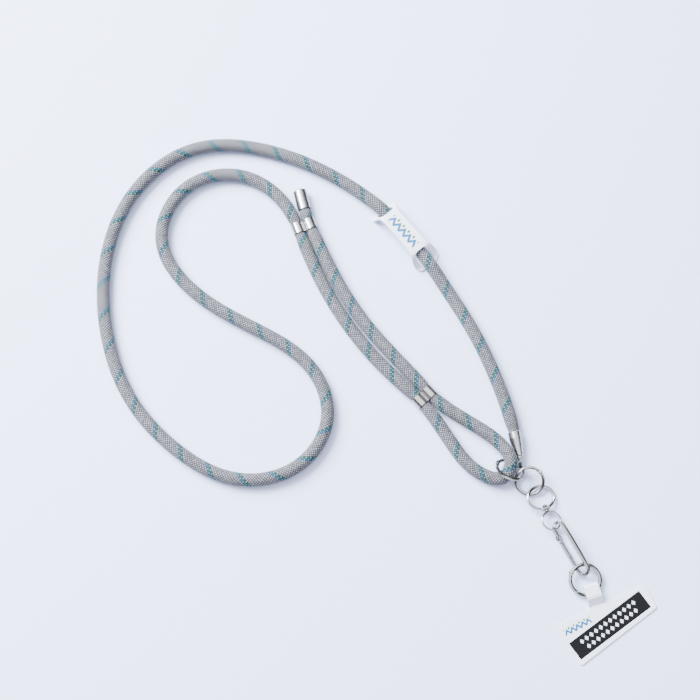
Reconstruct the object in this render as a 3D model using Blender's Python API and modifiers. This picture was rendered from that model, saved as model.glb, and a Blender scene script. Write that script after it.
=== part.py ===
"""A phone strap: one round braided rope, laid down in loose loops, with metal sliders, split rings
with sprung gates, a swivel, an oval snap hook and a flat tether tab that goes inside a phone case.

Metres, +Z up. The strap lies on the plane z = 0, and +X and +Y run along that plane.
"""

import math

import bmesh
import bpy
import numpy as np
from mathutils import Matrix, Vector

MM = 0.001
DEG = math.pi / 180.0

# Rope
ROPE_DIAMETER = 8.0 * MM
ROPE_SIDES_RESOLUTION = 3
ROPE_SAG = 0.55 * MM
ROPE_LONGEST_STEP = 24.0 * MM
ROPE_SHORTEST_STEP = 3.6 * MM
ROPE_SQUEEZE_LENGTH = 8.0 * MM
SEAT_GAP = 0.3 * MM

# Metal sleeves on the rope
SLEEVE_WALL = 0.45 * MM
CAP_DIAMETER = 8.2 * MM
CAP_LENGTH = 12.6 * MM
CAP_TOP = 1.0 * MM
CAP_EDGE = 0.5 * MM
SLIDER_DIAMETER = 7.9 * MM
SLIDER_PITCH = 7.6 * MM
SLIDER_LENGTH = 6.6 * MM
CONE_MOUTH_DIAMETER = 7.8 * MM
CONE_SHOULDER_LENGTH = 4.0 * MM
CONE_LENGTH = 14.6 * MM
CONE_TIP_DIAMETER = 4.5 * MM
CONE_BORE_DEPTH = 5.0 * MM
COLLAR_DIAMETER = 4.1 * MM
COLLAR_LENGTH = 1.6 * MM
NECK_DIAMETER = 1.8 * MM
EYE_RADIUS = 2.55 * MM
EYE_WIRE = 0.95 * MM

# Split rings, each with a sprung gate
STRAP_RING_RADIUS = 8.4 * MM
STRAP_RING_WIRE = 2.0 * MM
LINK_RING_RADIUS = 8.05 * MM
LINK_RING_WIRE = 2.0 * MM
TETHER_RING_RADIUS = 8.8 * MM
TETHER_RING_WIRE = 2.4 * MM
STRAP_GATE_SPAN = 74.0 * DEG
LINK_GATE_SPAN = 60.0 * DEG
TETHER_GATE_SPAN = 78.0 * DEG
EAR_REACH = 3.1 * MM
GATE_ROOT_GAP = 0.5 * MM
GATE_NOSE_GAP = 0.35 * MM
BOSS_OVER_WIRE = 0.25 * MM
PIN_DIAMETER = 0.8 * MM
PIN_HEAD_DIAMETER = 1.5 * MM
PIN_HEAD_RISE = 0.2 * MM
PIN_CLEARANCE = 0.22 * MM
TONGUE_SHARE = 0.36
TONGUE_CLEARANCE = 0.25 * MM
TONGUE_RADIUS = 1.2 * MM

# Swivel
SWIVEL_LOOP_ACROSS = 8.0 * MM
SWIVEL_LOOP_ALONG = 6.9 * MM
SWIVEL_LOOP_WIRE = 1.8 * MM
BOSS_WIDTH = 5.6 * MM
BOSS_HEIGHT = 3.4 * MM
BOSS_THICKNESS = 2.0 * MM
SWIVEL_POST_DIAMETER = 1.7 * MM
SWIVEL_CLEARANCE = 0.25 * MM
SWIVEL_HEAD_DIAMETER = 3.0 * MM
SWIVEL_HEAD_HEIGHT = 1.2 * MM
SWIVEL_COLLAR_DIAMETER = 3.0 * MM
SWIVEL_COLLAR_HEIGHT = 0.8 * MM
SWIVEL_EYE_RADIUS = 5.5 * MM
SWIVEL_EYE_WIRE = 1.25 * MM

# Snap hook
HOOK_LENGTH = 36.2 * MM
HOOK_HALF_WIDTH = 3.8 * MM
HOOK_WIRE = 2.3 * MM
HOOK_SPINE_WIRE = 3.1 * MM
HOOK_ROLL = 46.0 * DEG
HOOK_STUB = 9.2 * MM
HOOK_NOSE = 11.8 * MM
HOOK_GATE_WIRE = 2.6 * MM

# Soft plastic pieces
TAG_LENGTH = 45.6 * MM
TAG_LEAST_LIMB = 1.2
TAG_HOLE_HALF_WIDTH = 5.0 * MM
TAG_THICKNESS = 1.0 * MM
TAB_THICKNESS = 0.8 * MM
TAB_WIDTH = 57.3 * MM
TAB_LEFT_DEPTH = 26.2 * MM
TAB_RIGHT_DEPTH = 14.0 * MM
TAB_CORNER_RADIUS = 1.6 * MM
TAB_NECK_WIDTH = 8.6 * MM
TAB_NECK_FILLET = 2.2 * MM
TAB_NECK_OFFSET = 26.5 * MM
TAB_NECK_LENGTH = 14.1 * MM
TAB_FOLD_OVERLAP = 0.1 * MM
TAB_TONGUE_LENGTH = 8.0 * MM
TUNNEL_LENGTH = 7.9 * MM
TUNNEL_HEIGHT = 3.3 * MM

# Places on the plane, in metres, before the whole layout is moved to stand over the origin
LAYOUT_SHIFT = Vector((-69.92, 42.73, 0.0)) * MM
ROPE_LEVEL = 4.05 * MM
CONE_MOUTH = Vector((96.8, -51.2, 4.05)) * MM
CONE_DIRECTION = Vector((0.20, -0.98, 0.0))
CAP_MOUTH = Vector((-27.7, 87.7, 4.15)) * MM
CAP_DIRECTION = Vector((-0.257, 0.966, 0.0))
TOP_SLIDER_PLACE = Vector((-28.0, 76.7, 4.05)) * MM
TOP_SLIDER_DIRECTION = Vector((0.36, -0.933, 0.0))
LOW_SLIDER_PLACE = Vector((44.2, -29.9, 4.05)) * MM
LOW_SLIDER_DIRECTION = Vector((0.68, -0.733, 0.0))
TAG_PLACE = Vector((32.7, 72.05, 0.0)) * MM
TAG_DIRECTION = Vector((0.64, -0.768, 0.0))
STRAP_RING_PLACE = Vector((93.9, -74.2, 7.16)) * MM
STRAP_RING_ACROSS = Vector((0.939, -0.343, 0.0))
STRAP_RING_TILT = -43.1 * DEG
STRAP_RING_LEAN = -1.9 * DEG
STRAP_RING_PIN_ANGLE = 171.0 * DEG
EYE_PLACE = Vector((99.6, -70.6, 2.83)) * MM
EYE_NORMAL = Vector((-0.80, -0.16, -0.56))
LINK_RING_PLACE = Vector((105.1, -80.4, 4.48)) * MM
LINK_RING_SLOPE = Vector((0.119, 0.401, 0.0))
LINK_RING_PIN_ANGLE = 39.5 * DEG
SWIVEL_LOOP_PLACE = Vector((111.5, -90.15, 2.99)) * MM
SWIVEL_LOOP_SLOPE = Vector((-0.146, -0.148, 0.0))
SWIVEL_DIRECTION = Vector((0.364, -0.931, 0.0))
SWIVEL_EYE_DISTANCE = 14.9 * MM
HOOK_TOP = Vector((119.2, -104.4, 4.62)) * MM
HOOK_DIRECTION = Vector((0.481, -0.877, 0.0))
TETHER_RING_PLACE = Vector((135.6, -138.1, 3.5)) * MM
TETHER_RING_SLOPE = Vector((-0.104, 0.1, 0.0))
TETHER_RING_PIN_ANGLE = 153.0 * DEG
TAB_CORNER = Vector((118.2, -164.6, 0.0)) * MM
TAB_SHOULDER_ANGLE = 24.2 * DEG
TAB_LEFT_ANGLE = -58.7 * DEG
TAB_RIGHT_ANGLE = -63.6 * DEG
TAB_NECK_ANGLE = 107.5 * DEG

# The rope's route from the cone to the end cap, in millimetres: x, y, height of its middle
ROUTE = [
    (97.7, -55.6, 4.05),
    (96.1, -48.4, 4.05),
    (87.0, -19.3, 4.05),
    (74.0, 10.0, 4.05),
    (57.2, 38.4, 4.05),
    (47.2, 54.0, 5.65),
    (41.9, 61.7, 4.1),
    (24.9, 82.0, 4.1),
    (19.6, 87.3, 5.45),
    (9.0, 96.5, 4.05),
    (-10.5, 109.5, 4.05),
    (-52.0, 126.5, 4.05),
    (-96.5, 127.0, 4.05),
    (-131.5, 100.0, 4.05),
    (-147.5, 58.5, 4.05),
    (-146.5, 13.0, 4.05),
    (-131.5, -29.0, 4.05),
    (-102.5, -61.5, 4.05),
    (-64.5, -79.5, 4.05),
    (-30.0, -71.0, 4.05),
    (-13.5, -43.5, 4.05),
    (-21.5, -14.5, 4.05),
    (-60.5, 14.0, 4.05),
    (-97.5, 38.5, 4.05),
    (-114.5, 68.5, 4.05),
    (-99.5, 102.5, 4.05),
    (-64.5, 109.0, 4.05),
    (-38.2, 88.8, 4.05),
    (-33.2, 79.5, 4.05),
    (-29.9, 71.1, 4.05),
    (-17.1, 41.3, 4.05),
    (22.3, -13.8, 4.05),
    (38.3, -29.2, 4.05),
    (44.5, -35.8, 4.05),
    (59.5, -57.5, 4.05),
    (79.0, -77.2, 4.05),
    (89.6, -78.4, 4.65),
    (94.2, -70.5, 7.1),
    (89.5, -60.0, 5.92),
    (69.5, -44.6, 4.05),
    (50.1, -30.6, 4.05),
    (43.9, -24.0, 4.05),
    (7.6, 17.4, 4.05),
    (-22.8, 73.9, 4.05),
    (-26.1, 82.3, 4.05),
    (-30.5, 98.2, 4.15),
]

NECKED_RADIUS_SLIDER = SLIDER_DIAMETER / 2 - SLEEVE_WALL - SEAT_GAP
NECKED_RADIUS_CAP = CAP_DIAMETER / 2 - SLEEVE_WALL - SEAT_GAP
NECKED_RADIUS_CONE = CONE_MOUTH_DIAMETER / 2 - SLEEVE_WALL - SEAT_GAP


# Scene, collections and materials

for leftover in list(bpy.data.objects):
    bpy.data.objects.remove(leftover, do_unlink=True)

PIECES = bpy.data.collections.new("phone_strap")
CUTTERS = bpy.data.collections.new("cutters")
bpy.context.scene.collection.children.link(PIECES)
bpy.context.scene.collection.children.link(CUTTERS)


def material(name, colour, roughness, metallic):
    """A plain Principled material with a solid colour."""
    made = bpy.data.materials.new(name)
    made.use_nodes = True
    shader = made.node_tree.nodes["Principled BSDF"]
    shader.inputs["Base Color"].default_value = (*colour, 1.0)
    shader.inputs["Roughness"].default_value = roughness
    shader.inputs["Metallic"].default_value = metallic
    made.diffuse_color = (*colour, 1.0)
    return made


BRAID = material("grey_braid", (0.44, 0.43, 0.46), 0.85, 0.0)
SATIN_METAL = material("satin_metal", (0.66, 0.64, 0.62), 0.28, 1.0)
BRIGHT_METAL = material("bright_metal", (0.72, 0.70, 0.68), 0.14, 1.0)
WHITE_PLASTIC = material("white_plastic", (0.86, 0.87, 0.90), 0.35, 0.0)


# Helpers

def frame_at(origin, x_direction, z_direction):
    """A placement whose Z is z_direction and whose X lies as near x_direction as it can."""
    z_axis = z_direction.normalized()
    x_axis = (x_direction - z_axis * x_direction.dot(z_axis)).normalized()
    y_axis = z_axis.cross(x_axis)
    turn = Matrix((x_axis, y_axis, z_axis)).transposed()
    return Matrix.Translation(origin) @ turn.to_4x4()


def slope_normal(slope):
    """The normal of a plane that climbs by slope.x along X and slope.y along Y."""
    return Vector((-slope.x, -slope.y, 1.0)).normalized()


def add_object(name, mesh, collection, place, finish=None):
    made = bpy.data.objects.new(name, mesh)
    collection.objects.link(made)
    made.matrix_world = place
    if finish is not None:
        mesh.materials.append(finish)
    return made


def shade(made, angle=40.0 * DEG):
    made.data.shade_smooth()
    made.data.set_sharp_from_angle(angle=angle)


def hide_cutter(made):
    made.hide_render = True
    made.display_type = "WIRE"
    return made


def mesh_from_bmesh(name, work):
    mesh = bpy.data.meshes.new(name)
    bmesh.ops.recalc_face_normals(work, faces=work.faces)
    work.to_mesh(mesh)
    work.free()
    return mesh


def box_mesh(name, low, high):
    """A box between two corners."""
    work = bmesh.new()
    bmesh.ops.create_cube(work, size=1.0)
    size = [high[axis] - low[axis] for axis in range(3)]
    middle = [(high[axis] + low[axis]) / 2 for axis in range(3)]
    bmesh.ops.scale(work, vec=size, verts=work.verts)
    bmesh.ops.translate(work, vec=middle, verts=work.verts)
    return mesh_from_bmesh(name, work)


def rod_mesh(name, radius, low, high, sides=20):
    """A cylinder along Z from low to high."""
    work = bmesh.new()
    bmesh.ops.create_cone(
        work, cap_ends=True, segments=sides, radius1=radius, radius2=radius, depth=high - low
    )
    bmesh.ops.translate(work, vec=(0, 0, (low + high) / 2), verts=work.verts)
    return mesh_from_bmesh(name, work)


def turned_mesh(name, profile, sides=28):
    """A solid turned about Z from a profile of (radius, height) that starts and ends on the axis."""
    work = bmesh.new()
    corners = [work.verts.new((radius, 0.0, height)) for radius, height in profile]
    edges = [work.edges.new(pair) for pair in zip(corners, corners[1:])]
    bmesh.ops.spin(
        work,
        geom=corners + edges,
        cent=(0, 0, 0),
        axis=(0, 0, 1),
        angle=2 * math.pi,
        steps=sides,
        use_merge=True,
    )
    bmesh.ops.remove_doubles(work, verts=work.verts, dist=0.00001)
    return mesh_from_bmesh(name, work)


def tube_mesh(name, points, radius, resolution=2, shares=None, closed=False):
    """A round tube along points, as a mesh with welded caps. shares scales the radius point by point."""
    curve = bpy.data.curves.new(name, "CURVE")
    curve.dimensions = "3D"
    curve.bevel_depth = radius
    curve.bevel_resolution = resolution
    curve.use_fill_caps = not closed
    line = curve.splines.new("POLY")
    line.points.add(len(points) - 1)
    for index, point in enumerate(points):
        line.points[index].co = (*point, 1.0)
        line.points[index].radius = 1.0 if shares is None else shares[index]
    line.use_cyclic_u = closed
    holder = bpy.data.objects.new(name + "_curve", curve)
    CUTTERS.objects.link(holder)
    bpy.context.view_layer.update()
    mesh = bpy.data.meshes.new_from_object(holder.evaluated_get(bpy.context.evaluated_depsgraph_get()))
    bpy.data.objects.remove(holder, do_unlink=True)
    work = bmesh.new()
    work.from_mesh(mesh)
    bmesh.ops.remove_doubles(work, verts=work.verts, dist=0.00001)
    bpy.data.meshes.remove(mesh)
    return mesh_from_bmesh(name, work)


def outline_mesh(name, corners, thickness):
    """A flat outline in XY from z = 0 up to thickness."""
    curve = bpy.data.curves.new(name, "CURVE")
    curve.dimensions = "2D"
    curve.fill_mode = "BOTH"
    curve.extrude = thickness / 2
    for loop in corners:
        line = curve.splines.new("POLY")
        line.points.add(len(loop) - 1)
        for index, point in enumerate(loop):
            line.points[index].co = (point[0], point[1], 0.0, 1.0)
        line.use_cyclic_u = True
    holder = bpy.data.objects.new(name + "_curve", curve)
    CUTTERS.objects.link(holder)
    bpy.context.view_layer.update()
    mesh = bpy.data.meshes.new_from_object(holder.evaluated_get(bpy.context.evaluated_depsgraph_get()))
    bpy.data.objects.remove(holder, do_unlink=True)
    work = bmesh.new()
    work.from_mesh(mesh)
    bmesh.ops.remove_doubles(work, verts=work.verts, dist=0.00001)
    bmesh.ops.translate(work, vec=(0, 0, thickness / 2), verts=work.verts)
    bpy.data.meshes.remove(mesh)
    return mesh_from_bmesh(name, work)


def combine(target, operation, mesh, place):
    """Adds an exact Boolean of mesh, placed at place, to target."""
    tool = add_object(f"{target.name}_{operation.lower()}_{len(target.modifiers)}", mesh, CUTTERS, place)
    hide_cutter(tool)
    step = target.modifiers.new(f"{operation.lower()}_{len(target.modifiers)}", "BOOLEAN")
    step.operation = operation
    step.solver = "EXACT"
    step.object = tool


def rounded_outline(corners, radii, steps=5):
    """The corners of a polygon, listed anticlockwise, each with its own round."""
    points = []
    count = len(corners)
    for index in range(count):
        corner = Vector(corners[index])
        before = (Vector(corners[index - 1]) - corner).normalized()
        after = (Vector(corners[(index + 1) % count]) - corner).normalized()
        half = before.angle(after) / 2
        reach = radii[index] / math.tan(half)
        middle = corner + (before + after).normalized() * (radii[index] / math.sin(half))
        start = corner + before * reach - middle
        turn = start.angle_signed(corner + after * reach - middle)
        for step in range(steps + 1):
            angle = -turn * step / steps
            rotated = Matrix.Rotation(angle, 2) @ start
            points.append(tuple(middle + rotated))
    return points


def turned_z(direction):
    """A placement turn that lays a piece turned about Z along direction."""
    side = Vector((0, 0, 1)).cross(direction)
    return side, direction


# Rope

def smooth_curve(points, steps=24):
    """A natural cubic spline through points, as many short runs."""
    knots = np.array(points, float)
    runs = np.linalg.norm(np.diff(knots, axis=0), axis=1)
    count = len(knots)
    system = np.zeros((count, count))
    right = np.zeros((count, 3))
    system[0, 0] = 1.0
    system[-1, -1] = 1.0
    for index in range(1, count - 1):
        before = runs[index - 1]
        after = runs[index]
        system[index, index - 1 : index + 2] = (before, 2 * (before + after), after)
        rise = (knots[index + 1] - knots[index]) / after - (knots[index] - knots[index - 1]) / before
        right[index] = 6 * rise
    bends = np.linalg.solve(system, right)
    line = []
    for index, run in enumerate(runs):
        for step in range(steps):
            b = step / steps
            a = 1 - b
            curved = (a**3 - a) * bends[index] + (b**3 - b) * bends[index + 1]
            line.append(a * knots[index] + b * knots[index + 1] + run**2 / 6 * curved)
    line.append(knots[-1])
    return np.array(line)


def lengths_along(line):
    return np.concatenate(([0.0], np.cumsum(np.linalg.norm(np.diff(line, axis=0), axis=1))))


def sleeve_spans(line, distance):
    """Each metal sleeve's stretch of the rope: first length, last length, squeezed radius."""
    pitch = SLIDER_PITCH / 2
    spans = [(0.0, nearest_length(line, distance, CONE_MOUTH), NECKED_RADIUS_CONE)]
    for place, direction in (
        (TOP_SLIDER_PLACE, TOP_SLIDER_DIRECTION),
        (LOW_SLIDER_PLACE, LOW_SLIDER_DIRECTION),
    ):
        sideways = Vector((0, 0, 1)).cross(direction).normalized()
        for side in (-1, 1):
            middle = nearest_length(line, distance, place + sideways * side * pitch)
            half = SLIDER_LENGTH / 2
            spans.append((middle - half, middle + half, NECKED_RADIUS_SLIDER))
    spans.append((nearest_length(line, distance, CAP_MOUTH), distance[-1], NECKED_RADIUS_CAP))
    return sorted(spans)


def nearest_length(line, distance, place):
    return distance[int(np.argmin(np.linalg.norm(line - np.array(place), axis=1)))]


def rope_radius(length, spans):
    """The rope's radius at a length along it: squeezed in each sleeve, full a little way off."""
    radius = ROPE_DIAMETER / 2
    for first, last, squeezed in spans:
        away = max(first - length, length - last, 0.0)
        share = min(away / ROPE_SQUEEZE_LENGTH, 1.0)
        eased = math.sin(share * math.pi / 2)
        radius = min(radius, squeezed + (ROPE_DIAMETER / 2 - squeezed) * eased)
    return radius


def rope_stations(line, distance, spans):
    """Lengths at which the tube has a ring: close together where it bends or is squeezed."""
    tangents = np.gradient(line, distance, axis=0)
    bend = np.linalg.norm(np.gradient(tangents, distance, axis=0), axis=1)
    stations = [0.0]
    marks = []
    for first, last, _ in spans:
        marks += [first - ROPE_SQUEEZE_LENGTH / 3, first, last, last + ROPE_SQUEEZE_LENGTH / 3]
    marks = sorted(mark for mark in marks if 0.0 < mark < distance[-1])
    while stations[-1] < distance[-1]:
        here = stations[-1]
        near = (distance >= here) & (distance <= here + ROPE_SHORTEST_STEP * 2)
        sharpest = max(bend[near].max(), 1e-6)
        step = min(max(math.sqrt(8 * ROPE_SAG / sharpest), ROPE_SHORTEST_STEP), ROPE_LONGEST_STEP)
        target = here + step
        ahead = [mark for mark in marks if here + 1e-6 < mark <= target + ROPE_SHORTEST_STEP / 2]
        stations.append(min(ahead[0] if ahead else target, distance[-1]))
    if stations[-1] - stations[-2] < ROPE_SHORTEST_STEP / 2:
        stations.pop(-2)
    return stations


def build_rope():
    line = smooth_curve(ROUTE) * MM
    line[:, 2] = np.maximum(line[:, 2], ROPE_LEVEL)
    distance = lengths_along(line)
    spans = sleeve_spans(line, distance)
    stations = rope_stations(line, distance, spans)
    points = np.stack([np.interp(stations, distance, line[:, axis]) for axis in range(3)], 1)
    shares = [rope_radius(station, spans) / (ROPE_DIAMETER / 2) for station in stations]
    mesh = tube_mesh("rope", [tuple(point) for point in points], ROPE_DIAMETER / 2,
                     ROPE_SIDES_RESOLUTION, shares)
    rope = add_object("rope", mesh, PIECES, Matrix.Identity(4), BRAID)
    shade(rope, 60.0 * DEG)
    print("rope", round(float(distance[-1]), 4), "m,", len(stations), "rings")


# Metal sleeves

def build_end_cap():
    radius = CAP_DIAMETER / 2
    bore = radius - SLEEVE_WALL
    profile = [
        (0.0, CAP_LENGTH),
        (radius - CAP_EDGE, CAP_LENGTH),
        (radius, CAP_LENGTH - CAP_EDGE),
        (radius, 0.0),
        (bore, 0.0),
        (bore, CAP_LENGTH - CAP_TOP),
        (0.0, CAP_LENGTH - CAP_TOP),
    ]
    mesh = turned_mesh("rope_end_cap", profile)
    place = frame_at(CAP_MOUTH, Vector((0, 0, 1)), CAP_DIRECTION)
    shade(add_object("rope_end_cap", mesh, PIECES, place, SATIN_METAL))


def build_slider(name, place, direction):
    """Two short tubes side by side, joined by a web, as one solid with two bores."""
    placed = frame_at(place, Vector((0, 0, 1)).cross(direction), direction)
    half = SLIDER_LENGTH / 2
    radius = SLIDER_DIAMETER / 2
    offset = SLIDER_PITCH / 2
    slider = add_object(name, rod_mesh(name, radius, -half, half, 28), PIECES, placed, SATIN_METAL)
    slider.data.transform(Matrix.Translation((-offset, 0, 0)))
    second = rod_mesh(name + "_second", radius, -half, half, 28)
    second.transform(Matrix.Translation((offset, 0, 0)))
    combine(slider, "UNION", second, placed)
    web = radius * 0.42
    combine(slider, "UNION", box_mesh(name + "_web", (-offset / 2, -web, -half), (offset / 2, web, half)), placed)
    for side in (-1, 1):
        bore = rod_mesh(name + "_bore", radius - SLEEVE_WALL, -half * 1.5, half * 1.5, 24)
        bore.transform(Matrix.Translation((side * offset, 0, 0)))
        combine(slider, "DIFFERENCE", bore, placed)
    shade(slider)


def build_cone():
    """The rope's tapered end piece, with a collar, a neck and an eye round the strap ring."""
    mouth = CONE_MOUTH_DIAMETER / 2
    bore = mouth - SLEEVE_WALL
    tip = CONE_TIP_DIAMETER / 2
    collar = COLLAR_DIAMETER / 2
    edge = CAP_EDGE / 2
    end = CONE_LENGTH + COLLAR_LENGTH
    profile = [
        (0.0, CONE_BORE_DEPTH),
        (bore, CONE_BORE_DEPTH),
        (bore, 0.0),
        (mouth - edge, 0.0),
        (mouth, edge),
        (mouth, CONE_SHOULDER_LENGTH),
        (tip, CONE_LENGTH - edge),
        (tip - edge, CONE_LENGTH),
        (collar - edge, CONE_LENGTH + edge),
        (collar, CONE_LENGTH + edge * 2),
        (collar, end - edge),
        (collar - edge, end),
        (0.0, end),
    ]
    place = frame_at(CONE_MOUTH, Vector((0, 0, 1)), CONE_DIRECTION)
    cone = add_object("cone_ferrule", turned_mesh("cone_ferrule", profile), PIECES, place, SATIN_METAL)
    tail = place @ Vector((0, 0, end - edge))
    towards = (EYE_PLACE - tail).normalized()
    reach = (EYE_PLACE - tail).length - EYE_RADIUS
    neck = rod_mesh("cone_neck", NECK_DIAMETER / 2, -edge, reach, 12)
    combine(cone, "UNION", neck, frame_at(tail, Vector((0, 0, 1)), towards))
    eye = ring_mesh("cone_eye", EYE_RADIUS, EYE_WIRE, 20)
    normal = EYE_NORMAL - towards * EYE_NORMAL.dot(towards)
    combine(cone, "UNION", eye, frame_at(EYE_PLACE, towards, normal))
    shade(cone)


# Rings

def strap_ring_normal():
    """The strap ring leans steeply on the rope: tilted about its level axis, then a little across."""
    level = STRAP_RING_ACROSS.normalized()
    uphill = Vector((-level.y, level.x, 0.0))
    low_arc = uphill * math.cos(STRAP_RING_TILT) + Vector((0, 0, math.sin(STRAP_RING_TILT)))
    normal = level.cross(low_arc)
    return (normal * math.cos(STRAP_RING_LEAN) - level * math.sin(STRAP_RING_LEAN)).normalized()


def arc_points(radius, first, last, step=9.0 * DEG):
    count = max(2, int(round(abs(last - first) / step)))
    angles = [first + (last - first) * index / count for index in range(count + 1)]
    return [(radius * math.cos(angle), radius * math.sin(angle), 0.0) for angle in angles]


def ring_mesh(name, radius, wire, count=36):
    """A whole round ring in XY."""
    points = arc_points(radius, 0.0, 2 * math.pi * (1 - 1 / count), 2 * math.pi / count)
    return tube_mesh(name, points, wire / 2, 2, closed=True)


def hinge_parts(body, gate, placed, wire, toward_gate):
    """Cuts a slot in the body's ears, pins it and gives the gate a bored tongue.

    placed has its origin on the pin and its Z along it. toward_gate is the length along +Y
    from the pin to the middle of the gate's root."""
    slot = wire * TONGUE_SHARE / 2 + TONGUE_CLEARANCE
    tongue = wire * TONGUE_SHARE / 2
    boss = wire / 2 + BOSS_OVER_WIRE
    pin = PIN_DIAMETER / 2
    width = boss + PIN_CLEARANCE
    back = -(TONGUE_RADIUS + TONGUE_CLEARANCE)
    half = wire / 2 + PIN_HEAD_RISE / 2
    combine(body, "UNION", rod_mesh("boss", boss, -half, half, 18), placed)
    slot_box = box_mesh("slot", (-width * 2, back, -slot), (width * 2, toward_gate + wire / 2, slot))
    combine(body, "DIFFERENCE", slot_box, placed)
    combine(body, "UNION", rod_mesh("pin", pin, -half, half, 12), placed)
    head = PIN_HEAD_DIAMETER / 2
    top = half + PIN_HEAD_RISE
    dome = [(0.0, top), (head * 0.6, top - PIN_HEAD_RISE * 0.3), (head, half), (head, half - 0.1 * MM),
            (0.0, half - 0.1 * MM)]
    combine(body, "UNION", turned_mesh("pin_head", dome, 14), placed)
    lower = placed @ Matrix.Rotation(math.pi, 4, "X")
    combine(body, "UNION", turned_mesh("pin_tail", dome, 14), lower)
    root = rod_mesh("tongue_end", TONGUE_RADIUS, -tongue, tongue, 18)
    combine(gate, "UNION", root, placed)
    return tongue, pin


def build_gate_ring(name, place, normal, across, pin_angle, radius, wire, span):
    """A split ring: a long curved body with ears and pin, and a short sprung gate hinged on them."""
    ring = frame_at(place, across, normal) @ Matrix.Rotation(pin_angle, 4, "Z")
    ear_angle = EAR_REACH / radius
    root_angle = (EAR_REACH + GATE_ROOT_GAP) / radius
    nose_reach = 2 * radius * math.sin(span / 2)
    spare = 5.0 * DEG
    body_points = arc_points(radius, span - spare, 2 * math.pi + ear_angle)
    body = add_object(name, tube_mesh(name, body_points, wire / 2, 2), PIECES, ring, BRIGHT_METAL)
    gate_points = arc_points(radius, root_angle, span + spare)
    gate = add_object(name + "_gate", tube_mesh(name + "_gate", gate_points, wire / 2, 2), PIECES,
                      ring, BRIGHT_METAL)
    # Local frames: the pin's, and the nose's with +X along the line from the pin to the nose
    pin_frame = ring @ Matrix.Translation((radius, 0, 0))
    chord = math.pi / 2 + span / 2
    nose_frame = pin_frame @ Matrix.Rotation(chord, 4, "Z")
    block = wire * 1.6
    inner = box_mesh("nose_inner", (nose_reach - block, -block, -wire), (nose_reach + GATE_NOSE_GAP, block, wire))
    combine(body, "DIFFERENCE", inner, nose_frame)
    outer = box_mesh("nose_outer", (nose_reach, -block, -wire), (nose_reach + block * 1.5, block, wire))
    combine(gate, "DIFFERENCE", outer, nose_frame)
    tongue, pin = hinge_parts(body, gate, pin_frame, wire, EAR_REACH)
    # The tongue's web reaches from the pin into the gate along the chord of the ring
    web_angle = math.pi / 2 + root_angle * 0.62
    web_length = EAR_REACH + GATE_ROOT_GAP + wire * 0.7
    web = box_mesh("web", (0.0, -wire * 0.36, -tongue), (web_length, wire * 0.36, tongue))
    combine(gate, "UNION", web, pin_frame @ Matrix.Rotation(web_angle, 4, "Z"))
    hole = rod_mesh("hole", pin + PIN_CLEARANCE, -wire, wire, 14)
    combine(gate, "DIFFERENCE", hole, pin_frame)
    shade(body)
    shade(gate)
    at = pin_frame.translation
    axis = pin_frame.to_3x3() @ Vector((0, 0, 1))
    print(name, "pin", [round(value, 5) for value in at], "axis", [round(value, 4) for value in axis])


# Swivel

def swivel_frame():
    """The swivel loop's middle, with +X along the swivel's axis and +Z its normal."""
    return frame_at(SWIVEL_LOOP_PLACE, SWIVEL_DIRECTION, slope_normal(SWIVEL_LOOP_SLOPE))


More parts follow.
